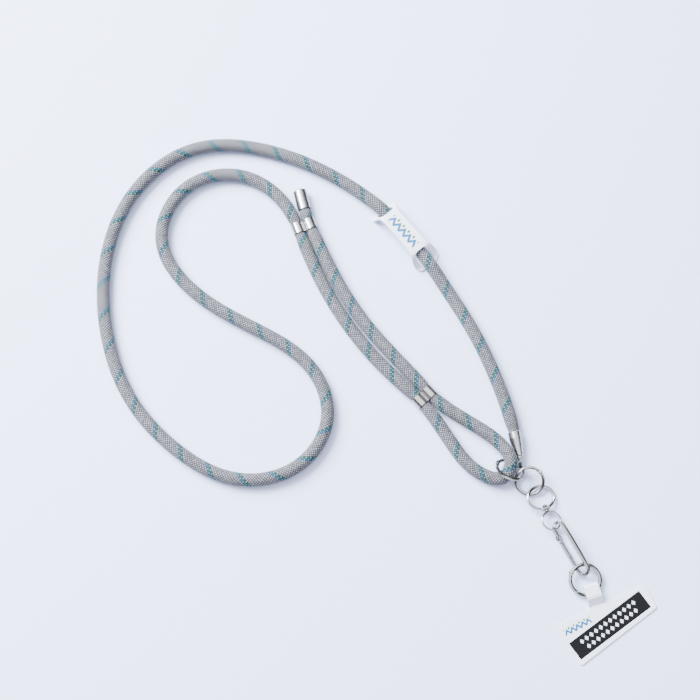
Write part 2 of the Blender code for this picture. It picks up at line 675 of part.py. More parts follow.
def build_swivel():
    frame = swivel_frame()
    count = 36
    loop = []
    for index in range(count):
        angle = 2 * math.pi * index / count
        loop.append((SWIVEL_LOOP_ALONG * math.cos(angle), SWIVEL_LOOP_ACROSS * math.sin(angle), 0.0))
    mesh = tube_mesh("swivel_loop", loop, SWIVEL_LOOP_WIRE / 2, 2, closed=True)
    body = add_object("swivel_loop", mesh, PIECES, frame, BRIGHT_METAL)
    boss = box_mesh(
        "swivel_boss",
        (SWIVEL_LOOP_ALONG - BOSS_THICKNESS / 2, -BOSS_WIDTH / 2, -BOSS_HEIGHT / 2),
        (SWIVEL_LOOP_ALONG + BOSS_THICKNESS / 2, BOSS_WIDTH / 2, BOSS_HEIGHT / 2),
    )
    rounding = add_object("swivel_boss_rounding", boss, CUTTERS, frame)
    hide_cutter(rounding)
    bevel = rounding.modifiers.new("round", "BEVEL")
    bevel.width = BOSS_THICKNESS * 0.3
    bevel.segments = 2
    join = body.modifiers.new("boss", "BOOLEAN")
    join.operation = "UNION"
    join.object = rounding
    along = frame @ Matrix.Rotation(math.pi / 2, 4, "Y")
    bore = rod_mesh("swivel_bore", SWIVEL_POST_DIAMETER / 2 + SWIVEL_CLEARANCE,
                    SWIVEL_LOOP_ALONG - BOSS_THICKNESS, SWIVEL_LOOP_ALONG + BOSS_THICKNESS, 18)
    combine(body, "DIFFERENCE", bore, along)
    shade(body)

    eye_frame = frame @ Matrix.Translation((SWIVEL_EYE_DISTANCE, 0, 0))
    eye_mesh = ring_mesh("swivel_eye", SWIVEL_EYE_RADIUS, SWIVEL_EYE_WIRE, 30)
    eye = add_object("swivel_eye", eye_mesh, PIECES, eye_frame, BRIGHT_METAL)
    inside = SWIVEL_LOOP_ALONG - BOSS_THICKNESS / 2 - SWIVEL_CLEARANCE
    outside = SWIVEL_LOOP_ALONG + BOSS_THICKNESS / 2 + SWIVEL_CLEARANCE
    post = SWIVEL_POST_DIAMETER / 2
    head = SWIVEL_HEAD_DIAMETER / 2
    collar = SWIVEL_COLLAR_DIAMETER / 2
    profile = [
        (0.0, inside - SWIVEL_HEAD_HEIGHT),
        (head * 0.6, inside - SWIVEL_HEAD_HEIGHT * 0.85),
        (head, inside - SWIVEL_HEAD_HEIGHT * 0.4),
        (head, inside),
        (post, inside),
        (post, outside),
        (collar, outside),
        (collar, outside + SWIVEL_COLLAR_HEIGHT * 0.6),
        (collar * 0.6, outside + SWIVEL_COLLAR_HEIGHT),
        (0.0, outside + SWIVEL_COLLAR_HEIGHT),
    ]
    combine(eye, "UNION", turned_mesh("swivel_post", profile, 20), along)
    shade(eye)
    axis = frame.to_3x3() @ Vector((1, 0, 0))
    at = frame @ Vector((SWIVEL_LOOP_ALONG, 0, 0))
    print("swivel at", [round(value, 5) for value in at], "axis", [round(value, 4) for value in axis])


# Snap hook

def hook_frame():
    """The hook's own frame: origin at its top end, +X down its length, +Y to its gate side."""
    along = HOOK_DIRECTION.normalized()
    right = along.cross(Vector((0, 0, 1)))
    if right.x < 0:
        right = -right
    across = right * math.cos(HOOK_ROLL) + Vector((0, 0, 1)) * math.sin(HOOK_ROLL)
    normal = along.cross(-across)
    return frame_at(HOOK_TOP, along, normal)


def build_hook():
    """An oval snap hook: spine, two bows, a stub with the hinge and a nose, and the sprung gate."""
    frame = hook_frame()
    half = HOOK_HALF_WIDTH
    wire = HOOK_WIRE / 2
    top = wire + half
    low = HOOK_LENGTH - wire - half
    points = [(HOOK_LENGTH - HOOK_NOSE - wire, half, 0.0)]
    steps = 9
    for index in range(steps + 1):
        angle = math.pi / 2 - math.pi * index / steps
        points.append((low + half * math.cos(angle), half * math.sin(angle), 0.0))
    spine = 6
    for index in range(1, spine):
        points.append((low + (top - low) * index / spine, -half, 0.0))
    for index in range(steps + 1):
        angle = -math.pi / 2 - math.pi * index / steps
        points.append((top + half * math.cos(angle), half * math.sin(angle), 0.0))
    points.append((HOOK_STUB + EAR_REACH, half, 0.0))
    shares = []
    for x, y, _ in points:
        on_spine = y < -half * 0.99
        middle = 1.0 - abs(x - HOOK_LENGTH / 2) / (HOOK_LENGTH / 2)
        swell = min(1.0, max(0.0, (middle - 0.3) / 0.3)) if on_spine else 0.0
        shares.append(1.0 + (HOOK_SPINE_WIRE / HOOK_WIRE - 1.0) * swell)
    body = add_object("hook_body", tube_mesh("hook_body", points, wire, 2, shares), PIECES, frame,
                      BRIGHT_METAL)
    gate_start = HOOK_STUB + EAR_REACH + GATE_ROOT_GAP
    gate_end = HOOK_LENGTH - HOOK_NOSE - wire - GATE_NOSE_GAP
    swell = HOOK_GATE_WIRE / HOOK_WIRE
    span = gate_end - gate_start
    gate_points = [(gate_start + span * share, half, 0.0) for share in (0.0, 0.12, 0.25, 0.75, 0.88, 1.0)]
    gate_mesh = tube_mesh("hook_gate", gate_points, wire, 2, [1.0, swell, swell, swell, swell, 1.0])
    gate = add_object("hook_gate", gate_mesh, PIECES, frame, BRIGHT_METAL)
    pin_frame = frame @ Matrix.Translation((HOOK_STUB, half, 0)) @ Matrix.Rotation(-math.pi / 2, 4, "Z")
    tongue, pin = hinge_parts(body, gate, pin_frame, HOOK_WIRE, EAR_REACH)
    web = box_mesh("web", (-wire * 0.7, 0.0, -tongue),
                   (wire * 0.7, EAR_REACH + GATE_ROOT_GAP + wire * 1.4, tongue))
    combine(gate, "UNION", web, pin_frame)
    combine(gate, "DIFFERENCE", rod_mesh("hole", pin + PIN_CLEARANCE, -wire * 2, wire * 2, 14), pin_frame)
    shade(body)
    shade(gate)
    at = pin_frame.translation
    axis = pin_frame.to_3x3() @ Vector((0, 0, 1))
    print("hook pin", [round(value, 5) for value in at], "axis", [round(value, 4) for value in axis])


# Soft plastic pieces

# Rows of the tag from its upper end to its lower end, in millimetres: place along the tag, half
# width, height of its middle surface, and whether the hole is open between this row and the next
TAG_ROWS = [
    (-21.0, 6.2, 0.5, False),
    (-19.5, 8.8, 0.6, True),
    (-18.2, 8.3, 2.8, True),
    (-16.6, 7.1, 6.6, True),
    (-15.0, 6.3, 9.3, False),
    (-11.5, 5.9, 9.7, False),
    (-5.0, 5.8, 9.8, False),
    (5.0, 5.8, 9.8, False),
    (11.5, 6.0, 9.7, False),
    (15.0, 6.9, 9.3, True),
    (17.4, 8.2, 6.6, True),
    (20.0, 8.8, 3.0, True),
    (22.4, 8.4, 0.6, False),
    (24.6, 5.8, 0.5, False),
]


def build_tag():
    """A soft tag: the rope runs over its two end bars, through its two holes and under its plate."""
    work = bmesh.new()
    grid = []
    scale = TAG_LENGTH / (TAG_ROWS[-1][0] - TAG_ROWS[0][0])
    for along, outer, height, _ in TAG_ROWS:
        edge = outer * scale
        inner = min(TAG_HOLE_HALF_WIDTH, edge - TAG_THICKNESS * TAG_LEAST_LIMB)
        places = (-edge, -inner, 0.0, inner, edge)
        grid.append([work.verts.new((along * scale, y, height * scale)) for y in places])
    for row, (_, _, _, open_after) in enumerate(TAG_ROWS[:-1]):
        for column in range(4):
            if open_after and column in (1, 2):
                continue
            work.faces.new((grid[row][column], grid[row + 1][column],
                            grid[row + 1][column + 1], grid[row][column + 1]))
    mesh = mesh_from_bmesh("name_tag", work)
    place = frame_at(TAG_PLACE, TAG_DIRECTION, Vector((0, 0, 1)))
    tag = add_object("name_tag", mesh, PIECES, place, WHITE_PLASTIC)
    smooth = tag.modifiers.new("smooth", "SUBSURF")
    smooth.levels = 1
    smooth.render_levels = 1
    wall = tag.modifiers.new("wall", "SOLIDIFY")
    wall.thickness = TAG_THICKNESS
    wall.offset = 0.0
    shade(tag)


def direction_of(angle):
    return Vector((math.cos(angle), math.sin(angle)))


def build_tab():
    """A thin flat tab with slanted lower edge, whose neck folds round the tether ring."""
    left_top = Vector(TAB_CORNER.xy)
    shoulder = direction_of(TAB_SHOULDER_ANGLE)
    right_top = left_top + shoulder * TAB_WIDTH
    left_low = left_top + direction_of(TAB_LEFT_ANGLE) * TAB_LEFT_DEPTH
    right_low = right_top + direction_of(TAB_RIGHT_ANGLE) * TAB_RIGHT_DEPTH
    neck = direction_of(TAB_NECK_ANGLE)
    sideways = direction_of(TAB_NECK_ANGLE - math.pi / 2)
    root = left_top + shoulder * TAB_NECK_OFFSET
    slant = TAB_NECK_WIDTH / 2 / sideways.dot(shoulder)
    neck_right = root + shoulder * slant
    neck_left = root - shoulder * slant
    tip = root + neck * TAB_NECK_LENGTH
    buried = root + neck * TAB_TONGUE_LENGTH
    tip_right = buried + sideways * TAB_NECK_WIDTH / 2
    tip_left = buried - sideways * TAB_NECK_WIDTH / 2
    corners = [left_top, left_low, right_low, right_top, neck_right, tip_right, tip_left, neck_left]
    corner = TAB_CORNER_RADIUS
    fillet = TAB_NECK_FILLET
    square = TAB_FOLD_OVERLAP
    radii = [corner, corner, corner, corner, fillet, square, square, fillet]
    outline = rounded_outline(corners, radii)
    mesh = outline_mesh("tether_tab", [outline], TAB_THICKNESS)
    tab = add_object("tether_tab", mesh, PIECES, Matrix.Identity(4), WHITE_PLASTIC)
    # The folded strip, as a side profile with its tunnel: local X runs from the tip to the panel
    wall = TAB_THICKNESS
    high = TUNNEL_HEIGHT + wall * 2
    start = wall
    end = start + TUNNEL_LENGTH
    run = end + high * 0.75
    outside = [(0.0, high * 0.5), (0.5 * MM, high * 0.16), (1.4 * MM, 0.0), (run, 0.0), (run, wall * 1.4),
               (end + high * 0.30, high * 0.62), (end, high * 0.9), (end - 1.5 * MM, high),
               (1.6 * MM, high), (0.5 * MM, high * 0.86)]
    inside = [(start, high * 0.5), (start + 0.9 * MM, wall), (end, wall), (end + 0.3 * MM, high * 0.5),
              (end - 0.9 * MM, high - wall * 1.1), (end - 1.9 * MM, high - wall),
              (start + 1.0 * MM, high - wall), (start + 0.2 * MM, high * 0.78)]
    width = TAB_NECK_WIDTH + TAB_FOLD_OVERLAP
    fold = outline_mesh("tab_fold", [outside, inside], width)
    fold.transform(Matrix.Translation((0, 0, -width / 2)))
    place = frame_at(Vector((tip.x, tip.y, 0.0)), Vector((-neck.x, -neck.y, 0.0)),
                     Vector((sideways.x, sideways.y, 0.0)))
    if (place.to_3x3() @ Vector((0, 1, 0))).z < 0:
        place = frame_at(Vector((tip.x, tip.y, 0.0)), Vector((-neck.x, -neck.y, 0.0)),
                         Vector((-sideways.x, -sideways.y, 0.0)))
    combine(tab, "UNION", fold, place)
    shade(tab)


build_rope()
build_end_cap()
build_slider("top_slider", TOP_SLIDER_PLACE, TOP_SLIDER_DIRECTION)
build_slider("lower_slider", LOW_SLIDER_PLACE, LOW_SLIDER_DIRECTION)
build_cone()
build_gate_ring("strap_ring", STRAP_RING_PLACE, strap_ring_normal(), STRAP_RING_ACROSS,
                STRAP_RING_PIN_ANGLE, STRAP_RING_RADIUS, STRAP_RING_WIRE, STRAP_GATE_SPAN)
build_gate_ring("link_ring", LINK_RING_PLACE, slope_normal(LINK_RING_SLOPE), Vector((1, 0, 0)),
                LINK_RING_PIN_ANGLE, LINK_RING_RADIUS, LINK_RING_WIRE, LINK_GATE_SPAN)
build_swivel()
build_hook()
build_gate_ring("tether_ring", TETHER_RING_PLACE, slope_normal(TETHER_RING_SLOPE), Vector((1, 0, 0)),
                TETHER_RING_PIN_ANGLE, TETHER_RING_RADIUS, TETHER_RING_WIRE, TETHER_GATE_SPAN)
build_tag()
build_tab()
bpy.context.view_layer.update()
for placed in list(PIECES.objects) + list(CUTTERS.objects):
    placed.matrix_world = Matrix.Translation(LAYOUT_SHIFT) @ placed.matrix_world
bpy.context.view_layer.update()
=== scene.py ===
import math

import bpy
import numpy as np
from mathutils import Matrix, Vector


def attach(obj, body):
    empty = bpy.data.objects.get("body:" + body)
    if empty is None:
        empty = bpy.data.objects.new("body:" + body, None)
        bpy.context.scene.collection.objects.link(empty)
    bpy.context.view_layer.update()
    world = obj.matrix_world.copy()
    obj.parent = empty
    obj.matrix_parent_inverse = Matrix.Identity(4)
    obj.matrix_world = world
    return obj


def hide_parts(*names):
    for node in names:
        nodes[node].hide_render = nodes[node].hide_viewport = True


# %% [markdown]
# # A phone strap: a round braided rope with metal fittings and a soft tether tab
#
# A strap of this kind is worn across the body. A rope of cotton or polyester is braided over a
# soft core and cut to length. One end is glued into a turned cap and the other into a cone with
# an eye. Two sliders join the rope to itself, so that the loop can be made longer or shorter.
# From the cone a chain of split rings, a swivel and an oval snap hook leads to a thin tab,
# whose flat part lies inside a phone case.
#
# The CAD model gives every piece its place, its size and its joints. This lesson gives each one
# its look. Lengths are in metres and +Z is up.

# %% Load the frame
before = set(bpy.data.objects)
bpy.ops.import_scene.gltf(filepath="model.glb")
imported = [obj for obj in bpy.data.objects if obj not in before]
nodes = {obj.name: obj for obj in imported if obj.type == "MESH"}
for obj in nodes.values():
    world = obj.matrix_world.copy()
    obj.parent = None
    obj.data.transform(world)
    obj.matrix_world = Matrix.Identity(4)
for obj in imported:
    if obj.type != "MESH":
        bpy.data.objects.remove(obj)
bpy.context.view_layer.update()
MM = 0.001
DEG = math.pi / 180.0
# Places below are measured from the middle of the picture. This moves them to the model's origin
SHIFT = Vector((-69.92, 42.73, 0.0)) * MM

# %% [markdown]
# ## Camera
#
# The picture looks steeply down at the strap on a pale table, from about 75 degrees above the
# horizon and one metre away. A long lens keeps the near and the far end at nearly one scale.
# The camera aims at the middle of the picture, which lies on the table.

# %% Camera
CAMERA_ELEVATION = 75.0 * DEG
CAMERA_DISTANCE = 1.0
CAMERA_LENS = 85.71
SENSOR_WIDTH = 36.0
CLIP_NEAR = 0.05
CLIP_FAR = 20.0
scene = bpy.context.scene
camera_data = bpy.data.cameras.new("camera")
camera_data.sensor_width = SENSOR_WIDTH
camera_data.lens = CAMERA_LENS
camera_data.clip_start = CLIP_NEAR
camera_data.clip_end = CLIP_FAR
camera = bpy.data.objects.new("camera", camera_data)
scene.collection.objects.link(camera)
back = Vector((0.0, -math.cos(CAMERA_ELEVATION), math.sin(CAMERA_ELEVATION)))
camera.location = SHIFT + back * CAMERA_DISTANCE
camera.rotation_euler = (-back).to_track_quat("-Z", "Y").to_euler()
scene.camera = camera
print("camera at", [round(value, 3) for value in camera.location])

# %% [markdown]
# ## The rope's line
#
# The rope leaves the cone, makes one wide loop round the left of the picture, comes back through
# both sliders, turns tightly round the strap ring and ends in the cap. It lies on the table except
# where it climbs over the tag's end bars and over the strap ring.
#
# A curve object could carry the rope, but its points would be hard to count along the length.
# A natural spline that is worked out here gives the same smooth line as plain numbers, and the
# braid can then be spaced evenly along it.

# %% Route of the rope
ROPE_DIAMETER = 8.0 * MM
ROPE_LEVEL = 4.05 * MM
# x, y and height of the rope's middle, in millimetres
ROUTE = [
    (97.7, -55.6, 4.05), (96.1, -48.4, 4.05), (87.0, -19.3, 4.05), (74.0, 10.0, 4.05),
    (57.2, 38.4, 4.05), (47.2, 54.0, 5.65), (41.9, 61.7, 4.1), (24.9, 82.0, 4.1),
    (19.6, 87.3, 5.45), (9.0, 96.5, 4.05), (-10.5, 109.5, 4.05), (-52.0, 126.5, 4.05),
    (-96.5, 127.0, 4.05), (-131.5, 100.0, 4.05), (-147.5, 58.5, 4.05), (-146.5, 13.0, 4.05),
    (-131.5, -29.0, 4.05), (-102.5, -61.5, 4.05), (-64.5, -79.5, 4.05), (-30.0, -71.0, 4.05),
    (-13.5, -43.5, 4.05), (-21.5, -14.5, 4.05), (-60.5, 14.0, 4.05), (-97.5, 38.5, 4.05),
    (-114.5, 68.5, 4.05), (-99.5, 102.5, 4.05), (-64.5, 109.0, 4.05), (-38.2, 88.8, 4.05),
    (-33.2, 79.5, 4.05), (-29.9, 71.1, 4.05), (-17.1, 41.3, 4.05), (22.3, -13.8, 4.05),
    (38.3, -29.2, 4.05), (44.5, -35.8, 4.05), (59.5, -57.5, 4.05), (79.0, -77.2, 4.05),
    (89.6, -78.4, 4.65), (94.2, -70.5, 7.1), (89.5, -60.0, 5.92), (69.5, -44.6, 4.05),
    (50.1, -30.6, 4.05), (43.9, -24.0, 4.05), (7.6, 17.4, 4.05), (-22.8, 73.9, 4.05),
    (-26.1, 82.3, 4.05), (-30.5, 98.2, 4.15),
]


def smooth_curve(points, steps=24):
    """A natural cubic spline through points, as many short runs."""
    knots = np.array(points, float)
    runs = np.linalg.norm(np.diff(knots, axis=0), axis=1)
    count = len(knots)
    system = np.zeros((count, count))
    right = np.zeros((count, 3))
    system[0, 0] = 1.0
    system[-1, -1] = 1.0
    for index in range(1, count - 1):
        before = runs[index - 1]
        after = runs[index]
        system[index, index - 1 : index + 2] = (before, 2 * (before + after), after)
        rise = (knots[index + 1] - knots[index]) / after - (knots[index] - knots[index - 1]) / before
        right[index] = 6 * rise
    bends = np.linalg.solve(system, right)
    line = []
    for index, run in enumerate(runs):
        for step in range(steps):
            b = step / steps
            a = 1 - b
            curved = (a**3 - a) * bends[index] + (b**3 - b) * bends[index + 1]
            line.append(a * knots[index] + b * knots[index + 1] + run**2 / 6 * curved)
    line.append(knots[-1])
    return np.array(line)


def lengths_along(line):
    return np.concatenate(([0.0], np.cumsum(np.linalg.norm(np.diff(line, axis=0), axis=1))))


rope_line = smooth_curve(ROUTE) * MM
rope_line[:, 2] = np.maximum(rope_line[:, 2], ROPE_LEVEL)
rope_line += np.array(SHIFT)
rope_lengths = lengths_along(rope_line)
ROPE_LENGTH = float(rope_lengths[-1])
print("rope length", round(ROPE_LENGTH, 4))

# %% [markdown]
# ## Where the rope is squeezed
#
# A braided rope is soft, and each metal sleeve grips it tightly, so the rope is thinner inside a
# sleeve and swells out again a little way beyond it. The radius is therefore a function of the
# length along the rope. It eases out as a quarter of a sine wave, which is steep at the sleeve
# and level where the rope is full again.

# %% Radius along the rope
SLEEVE_EASE = 8.0 * MM
# Middle x and y of each sleeve, half its length and the rope's radius inside, in millimetres
SLEEVES = [
    (97.3, -53.5, 3.0, 3.15),
    (-31.6, 75.4, 3.3, 3.2),
    (-24.4, 78.1, 3.3, 3.2),
    (41.4, -32.5, 3.3, 3.2),
    (47.0, -27.3, 3.3, 3.2),
    (-29.3, 94.0, 6.5, 3.35),
]


def rope_radii(lengths):
    """The rope's radius at lengths along it: squeezed in each sleeve, full a little way off."""
    full = ROPE_DIAMETER / 2
    radii = np.full(len(lengths), full)
    for x, y, half, squeezed in SLEEVES:
        place = np.array((x * MM, y * MM, ROPE_LEVEL)) + np.array(SHIFT)
        middle = rope_lengths[int(np.argmin(np.linalg.norm(rope_line - place, axis=1)))]
        away = np.clip(np.abs(lengths - middle) - half * MM, 0.0, SLEEVE_EASE) / SLEEVE_EASE
        radii = np.minimum(radii, squeezed * MM + (full - squeezed * MM) * np.sin(away * math.pi / 2))
    return radii


print("sleeves", len(SLEEVES), "least radius", round(float(rope_radii(rope_lengths).min()), 5))

# %% [markdown]
# ## The braided cover
#
# The cover is a round braid: a dozen strands wind one way and a dozen the other way, and each
# goes over one and under one. Where a strand is on top it shows as a small raised square. Two
# directions of strand cross at every square, so the surface reads as a lattice that is turned
# by 45 degrees.
#
# Every strand could be modelled by itself, but that would take many times as many faces. Instead
# the tube has two vertices for each crossing round and along, and every vertex is either the crown
# of a square or a dip between squares. These heights give the rope its relief, and the material
# draws the finer edges.

# %% Points of the cover
STRANDS = 12
AROUND = STRANDS * 2
CROSSING_LENGTH = 1.667 * MM
CROWN_RISE = 0.10 * MM
DIP_DEPTH = 0.28 * MM
ROWS = int(round(ROPE_LENGTH / (CROSSING_LENGTH / 2)))


def along_rope(lengths):
    """The rope's middle, its sideways direction and its upward direction at lengths along it."""
    centres = np.stack([np.interp(lengths, rope_lengths, rope_line[:, axis]) for axis in range(3)], 1)
    tangents = np.gradient(centres, lengths, axis=0)
    tangents /= np.linalg.norm(tangents, axis=1)[:, None]
    sides = np.cross(tangents, (0.0, 0.0, 1.0))
    sides /= np.linalg.norm(sides, axis=1)[:, None]
    return centres, sides, np.cross(sides, tangents)


def cover_points():
    """Rings of crowns and dips by turns, then the middle of each end, and the rope's middles."""
    lengths = np.linspace(0.0, ROPE_LENGTH, ROWS + 1)
    centres, sides, ups = along_rope(lengths)
    angles = 2 * math.pi * np.arange(AROUND) / AROUND
    parity = (np.arange(ROWS + 1)[:, None] + np.arange(AROUND)[None, :]) % 2
    radii = rope_radii(lengths)[:, None] + np.where(parity == 0, CROWN_RISE, -DIP_DEPTH)
    upward = np.cos(angles)[None, :, None] * ups[:, None, :]
    sideways = np.sin(angles)[None, :, None] * sides[:, None, :]
    points = centres[:, None, :] + (upward - sideways) * radii[:, :, None]
    return np.concatenate((points.reshape(-1, 3), centres[:1], centres[-1:])), centres


points, rope_centres = cover_points()
print("cover", ROWS, "rows of", AROUND, "points")

# %% [markdown]
# The rings are joined by quads, and each quad is split from dip to dip, so that every crown is
# the top of a small pyramid. A map named Weave goes with the triangles. It counts crossings round
# and along the rope, and the material reads it to know which strand it is on. A fan of triangles
# closes each end.

# %% Triangles of the cover
SPLIT_BY_FIRST = np.array((0, 1, 2, 0, 2, 3))
SPLIT_BY_SECOND = np.array((1, 2, 3, 1, 3, 0))


def side_triangles():
    """Two triangles for every quad of the tube, and the Weave place of each corner."""
    row = np.repeat(np.arange(ROWS), AROUND)
    column = np.tile(np.arange(AROUND), ROWS)
    after = (column + 1) % AROUND
    corners = np.stack((row * AROUND + column, (row + 1) * AROUND + column,
                        (row + 1) * AROUND + after, row * AROUND + after), 1)
    weave = np.stack((np.stack((column, row), 1), np.stack((column, row + 1), 1),
                      np.stack((column + 1, row + 1), 1), np.stack((column + 1, row), 1)), 1) / 2
    crown_first = (row + column) % 2 == 0
    turned = np.where(crown_first[:, None], SPLIT_BY_SECOND, SPLIT_BY_FIRST)
    triangles = np.take_along_axis(corners, turned, 1).reshape(-1, 3)
    return triangles, np.take_along_axis(weave, turned[:, :, None].repeat(2, 2), 1).reshape(-1, 3, 2)


def end_triangles():
    """A fan on each end of the tube, and the Weave place of each corner."""
    last_ring = ROWS * AROUND
    tip = last_ring + AROUND
    faces = []
    places = []
    for base in (0, last_ring):
        for index in range(AROUND):
            here = base + index
            there = base + (index + 1) % AROUND
            faces.append((tip, here, there) if base == 0 else (tip, there, here))
            places.append(((index / 2, base), ((index + 1) / 2, base), (index / 2, base + 0.5)))
        tip += 1
    return np.array(faces), np.array(places, float)


side_faces, side_weave = side_triangles()
end_faces, end_weave = end_triangles()
print("cover", len(side_faces), "triangles on the side and", len(end_faces), "on the ends")

# %% [markdown]
# A second map, OFBake, is for baking, so no two triangles may share a place in it. The cover is
# one long strip. It is cut into seven equal lengths that lie in rows, one above the other, with a
# small margin between them. The ends lie in a narrow band above the rows.

# %% Bake map
BAKE_ROWS = 7
BAKE_MARGIN = 0.003
BAKE_ROWS_TOP = 0.97
END_BAND = (0.975, 0.99)
END_START = 0.01
END_RUN = 0.9
END_WIDTH = 0.012


def rows_in_square(weave):
    """The side triangles in rows, in the unit square."""
    each = math.ceil(ROWS / BAKE_ROWS) / 2
    start = weave[:, :, 1].min(axis=1)
    strip = np.floor((start + 0.001) / each)[:, None]
    across = (weave[:, :, 1] - strip * each) / each
    up = weave[:, :, 0] / STRANDS
    u = BAKE_MARGIN + across * (1 - 2 * BAKE_MARGIN)
    v = (strip + BAKE_MARGIN * 3 + up * (1 - BAKE_MARGIN * 6)) * (BAKE_ROWS_TOP / BAKE_ROWS)
    return np.stack((u, v), 2)


def ends_in_square(count):
    """The end triangles side by side above the rows."""
    low, high = END_BAND
    places = np.zeros((count, 3, 2))
    for index in range(count):
        left = END_START + END_RUN * index / count
        places[index] = ((left, low), (left + END_WIDTH, low), (left, high))
    return places


bake = np.concatenate((rows_in_square(side_weave), ends_in_square(len(end_faces))))
print("bake map from", bake.min().round(4), "to", bake.max().round(4))

# %% [markdown]
# The arrays go into the mesh in one step each. That is much faster than adding tens of thousands
# of faces one by one.

# %% The rope
def mesh_of(name, points, faces, maps):
    """A smooth mesh of triangles with its maps. The first map is the active one."""
    mesh = bpy.data.meshes.new(name)
    mesh.vertices.add(len(points))
    mesh.vertices.foreach_set("co", points.reshape(-1))
    mesh.loops.add(len(faces) * 3)
    mesh.loops.foreach_set("vertex_index", faces.reshape(-1))
    mesh.polygons.add(len(faces))
    mesh.polygons.foreach_set("loop_start", np.arange(len(faces)) * 3)
    mesh.update(calc_edges=True)
    for map_name, places in maps:
        mesh.uv_layers.new(name=map_name).uv.foreach_set("vector", places.reshape(-1))
    mesh.uv_layers.active_index = 0
    mesh.shade_smooth()
    mesh.validate()
    return mesh


cover_maps = (("Weave", np.concatenate((side_weave, end_weave))), ("OFBake", bake))
cover = mesh_of("braided_rope", points, np.concatenate((side_faces, end_faces)), cover_maps)
rope = bpy.data.objects.new("braided_rope", cover)
scene.collection.objects.link(rope)
print("rope", len(rope.data.polygons), "triangles")

# %% [markdown]
# ## The colours of the braid
#
# The braid's colours could be painted, but a node group draws them sharp at any distance. It
# turns the Weave map into strands. The sum of the two counts numbers the strands of one direction
# and their difference numbers the other direction. In a plain braid the two directions take turns
# on top like the squares of a chess board. The group gives out the number of the left-hand
# strand, whether the right-hand one is on top, a random value for each square, and a height that
# is rounded over every square and dips at its edges.

# %% Node helpers
def node(tree, kind, **settings):
    made = tree.nodes.new(kind)
    for name, value in settings.items():
        setattr(made, name, value)
    return made


def maths(tree, operation, first, second=None, third=None):
    """A maths node. Values that are numbers are set on the socket, and others are linked."""
    made = node(tree, "ShaderNodeMath", operation=operation)
    for socket, value in zip(made.inputs, (first, second, third)):
        if value is None:
            continue
        if isinstance(value, (int, float)):
            socket.default_value = value
        else:
            tree.links.new(value, socket)
    return made.outputs[0]


def mix(tree, factor, first, second):
    """A colour mix. Colours that are tuples are set on the socket, and others are linked."""
    made = node(tree, "ShaderNodeMix", data_type="RGBA")
    for socket, value in ((made.inputs[0], factor), (made.inputs[6], first), (made.inputs[7], second)):
        if isinstance(value, (int, float)):
            socket.default_value = value
        elif isinstance(value, tuple):
            socket.default_value = (*value, 1.0)
        else:
            tree.links.new(value, socket)
    return made.outputs[2]


def new_group(name, place, outputs):
    """A new group with one vector input, split into x and y, and with number outputs."""
    group = bpy.data.node_groups.new(name, "ShaderNodeTree")
    group.interface.new_socket(place, in_out="INPUT", socket_type="NodeSocketVector")
    for output in outputs:
        group.interface.new_socket(output, in_out="OUTPUT", socket_type="NodeSocketFloat")
    split = node(group, "ShaderNodeSeparateXYZ")
    group.links.new(node(group, "NodeGroupInput").outputs[0], split.inputs[0])
    return group, node(group, "NodeGroupOutput"), split.outputs[0], split.outputs[1]


print("helpers for maths, colour mixes and groups")

# %% Braid group
braid, result, round_rope, along = new_group("plain braid", "Map",
                                             ("Left strand", "Right hand", "Random", "Height"))
# Half a square moves the crowns to the middles of the squares, and two turns keep the count positive
left_count = maths(braid, "ADD", maths(braid, "ADD", along, round_rope), 0.5)
right_count = maths(braid, "ADD", maths(braid, "SUBTRACT", along, round_rope), 2 * STRANDS + 0.5)
left_index = maths(braid, "FLOOR", left_count)
right_index = maths(braid, "FLOOR", right_count)
turn = maths(braid, "FLOORED_MODULO", maths(braid, "ADD", left_index, right_index), 2.0)
right_top = maths(braid, "LESS_THAN", turn, 0.5)
left_strand = maths(braid, "FLOORED_MODULO", left_index, float(STRANDS))
left_part = maths(braid, "SUBTRACT", left_count, left_index)
right_part = maths(braid, "SUBTRACT", right_count, right_index)
left_wave = maths(braid, "SINE", maths(braid, "MULTIPLY", left_part, math.pi))
right_wave = maths(braid, "SINE", maths(braid, "MULTIPLY", right_part, math.pi))
height = maths(braid, "POWER", maths(braid, "MULTIPLY", left_wave, right_wave), 0.5)
cell = node(braid, "ShaderNodeCombineXYZ")
braid.links.new(left_index, cell.inputs[0])
braid.links.new(right_index, cell.inputs[1])
noise = node(braid, "ShaderNodeTexWhiteNoise", noise_dimensions="3D")
braid.links.new(cell.outputs[0], noise.inputs["Vector"])
for output, value in (("Left strand", left_strand), ("Right hand", right_top),
                      ("Random", noise.outputs["Value"]), ("Height", height)):
    braid.links.new(value, result.inputs[output])
print("braid group", len(braid.nodes), "nodes")

# %% [markdown]
# Two left-hand strands are dyed, one blue and one dark green, and run round the rope as a narrow
# band. The grey strands that cross them take on a pale tint there. Each grey square is a little
# lighter or darker than the next, as spun yarn is. Between the squares the yarn lies in shadow,
# so the colour darkens towards the edges of each square, and a bump rounds the square itself.

# %% Rope material
GREY_YARN = (0.39, 0.375, 0.405)
DARK_GREY_YARN = (0.20, 0.19, 0.203)
YARN_SHADOW = (0.010, 0.010, 0.013)
BLUE_YARN = (0.004, 0.075, 0.20)
GREEN_YARN = (0.002, 0.045, 0.045)
CYAN_YARN = (0.035, 0.31, 0.43)
LIME_YARN = (0.05, 0.36, 0.25)
YARN_ROUGHNESS = 0.8
YARN_SHEEN = 0.15
SHADOW_NARROWNESS = 3.0
BUMP_STRENGTH = 0.6
BUMP_DISTANCE = 0.25 * MM
# Left-hand strands that are dyed: strand number, its colour, the tint of what crosses it
TRACERS = [(0, BLUE_YARN, CYAN_YARN), (1, GREEN_YARN, LIME_YARN)]


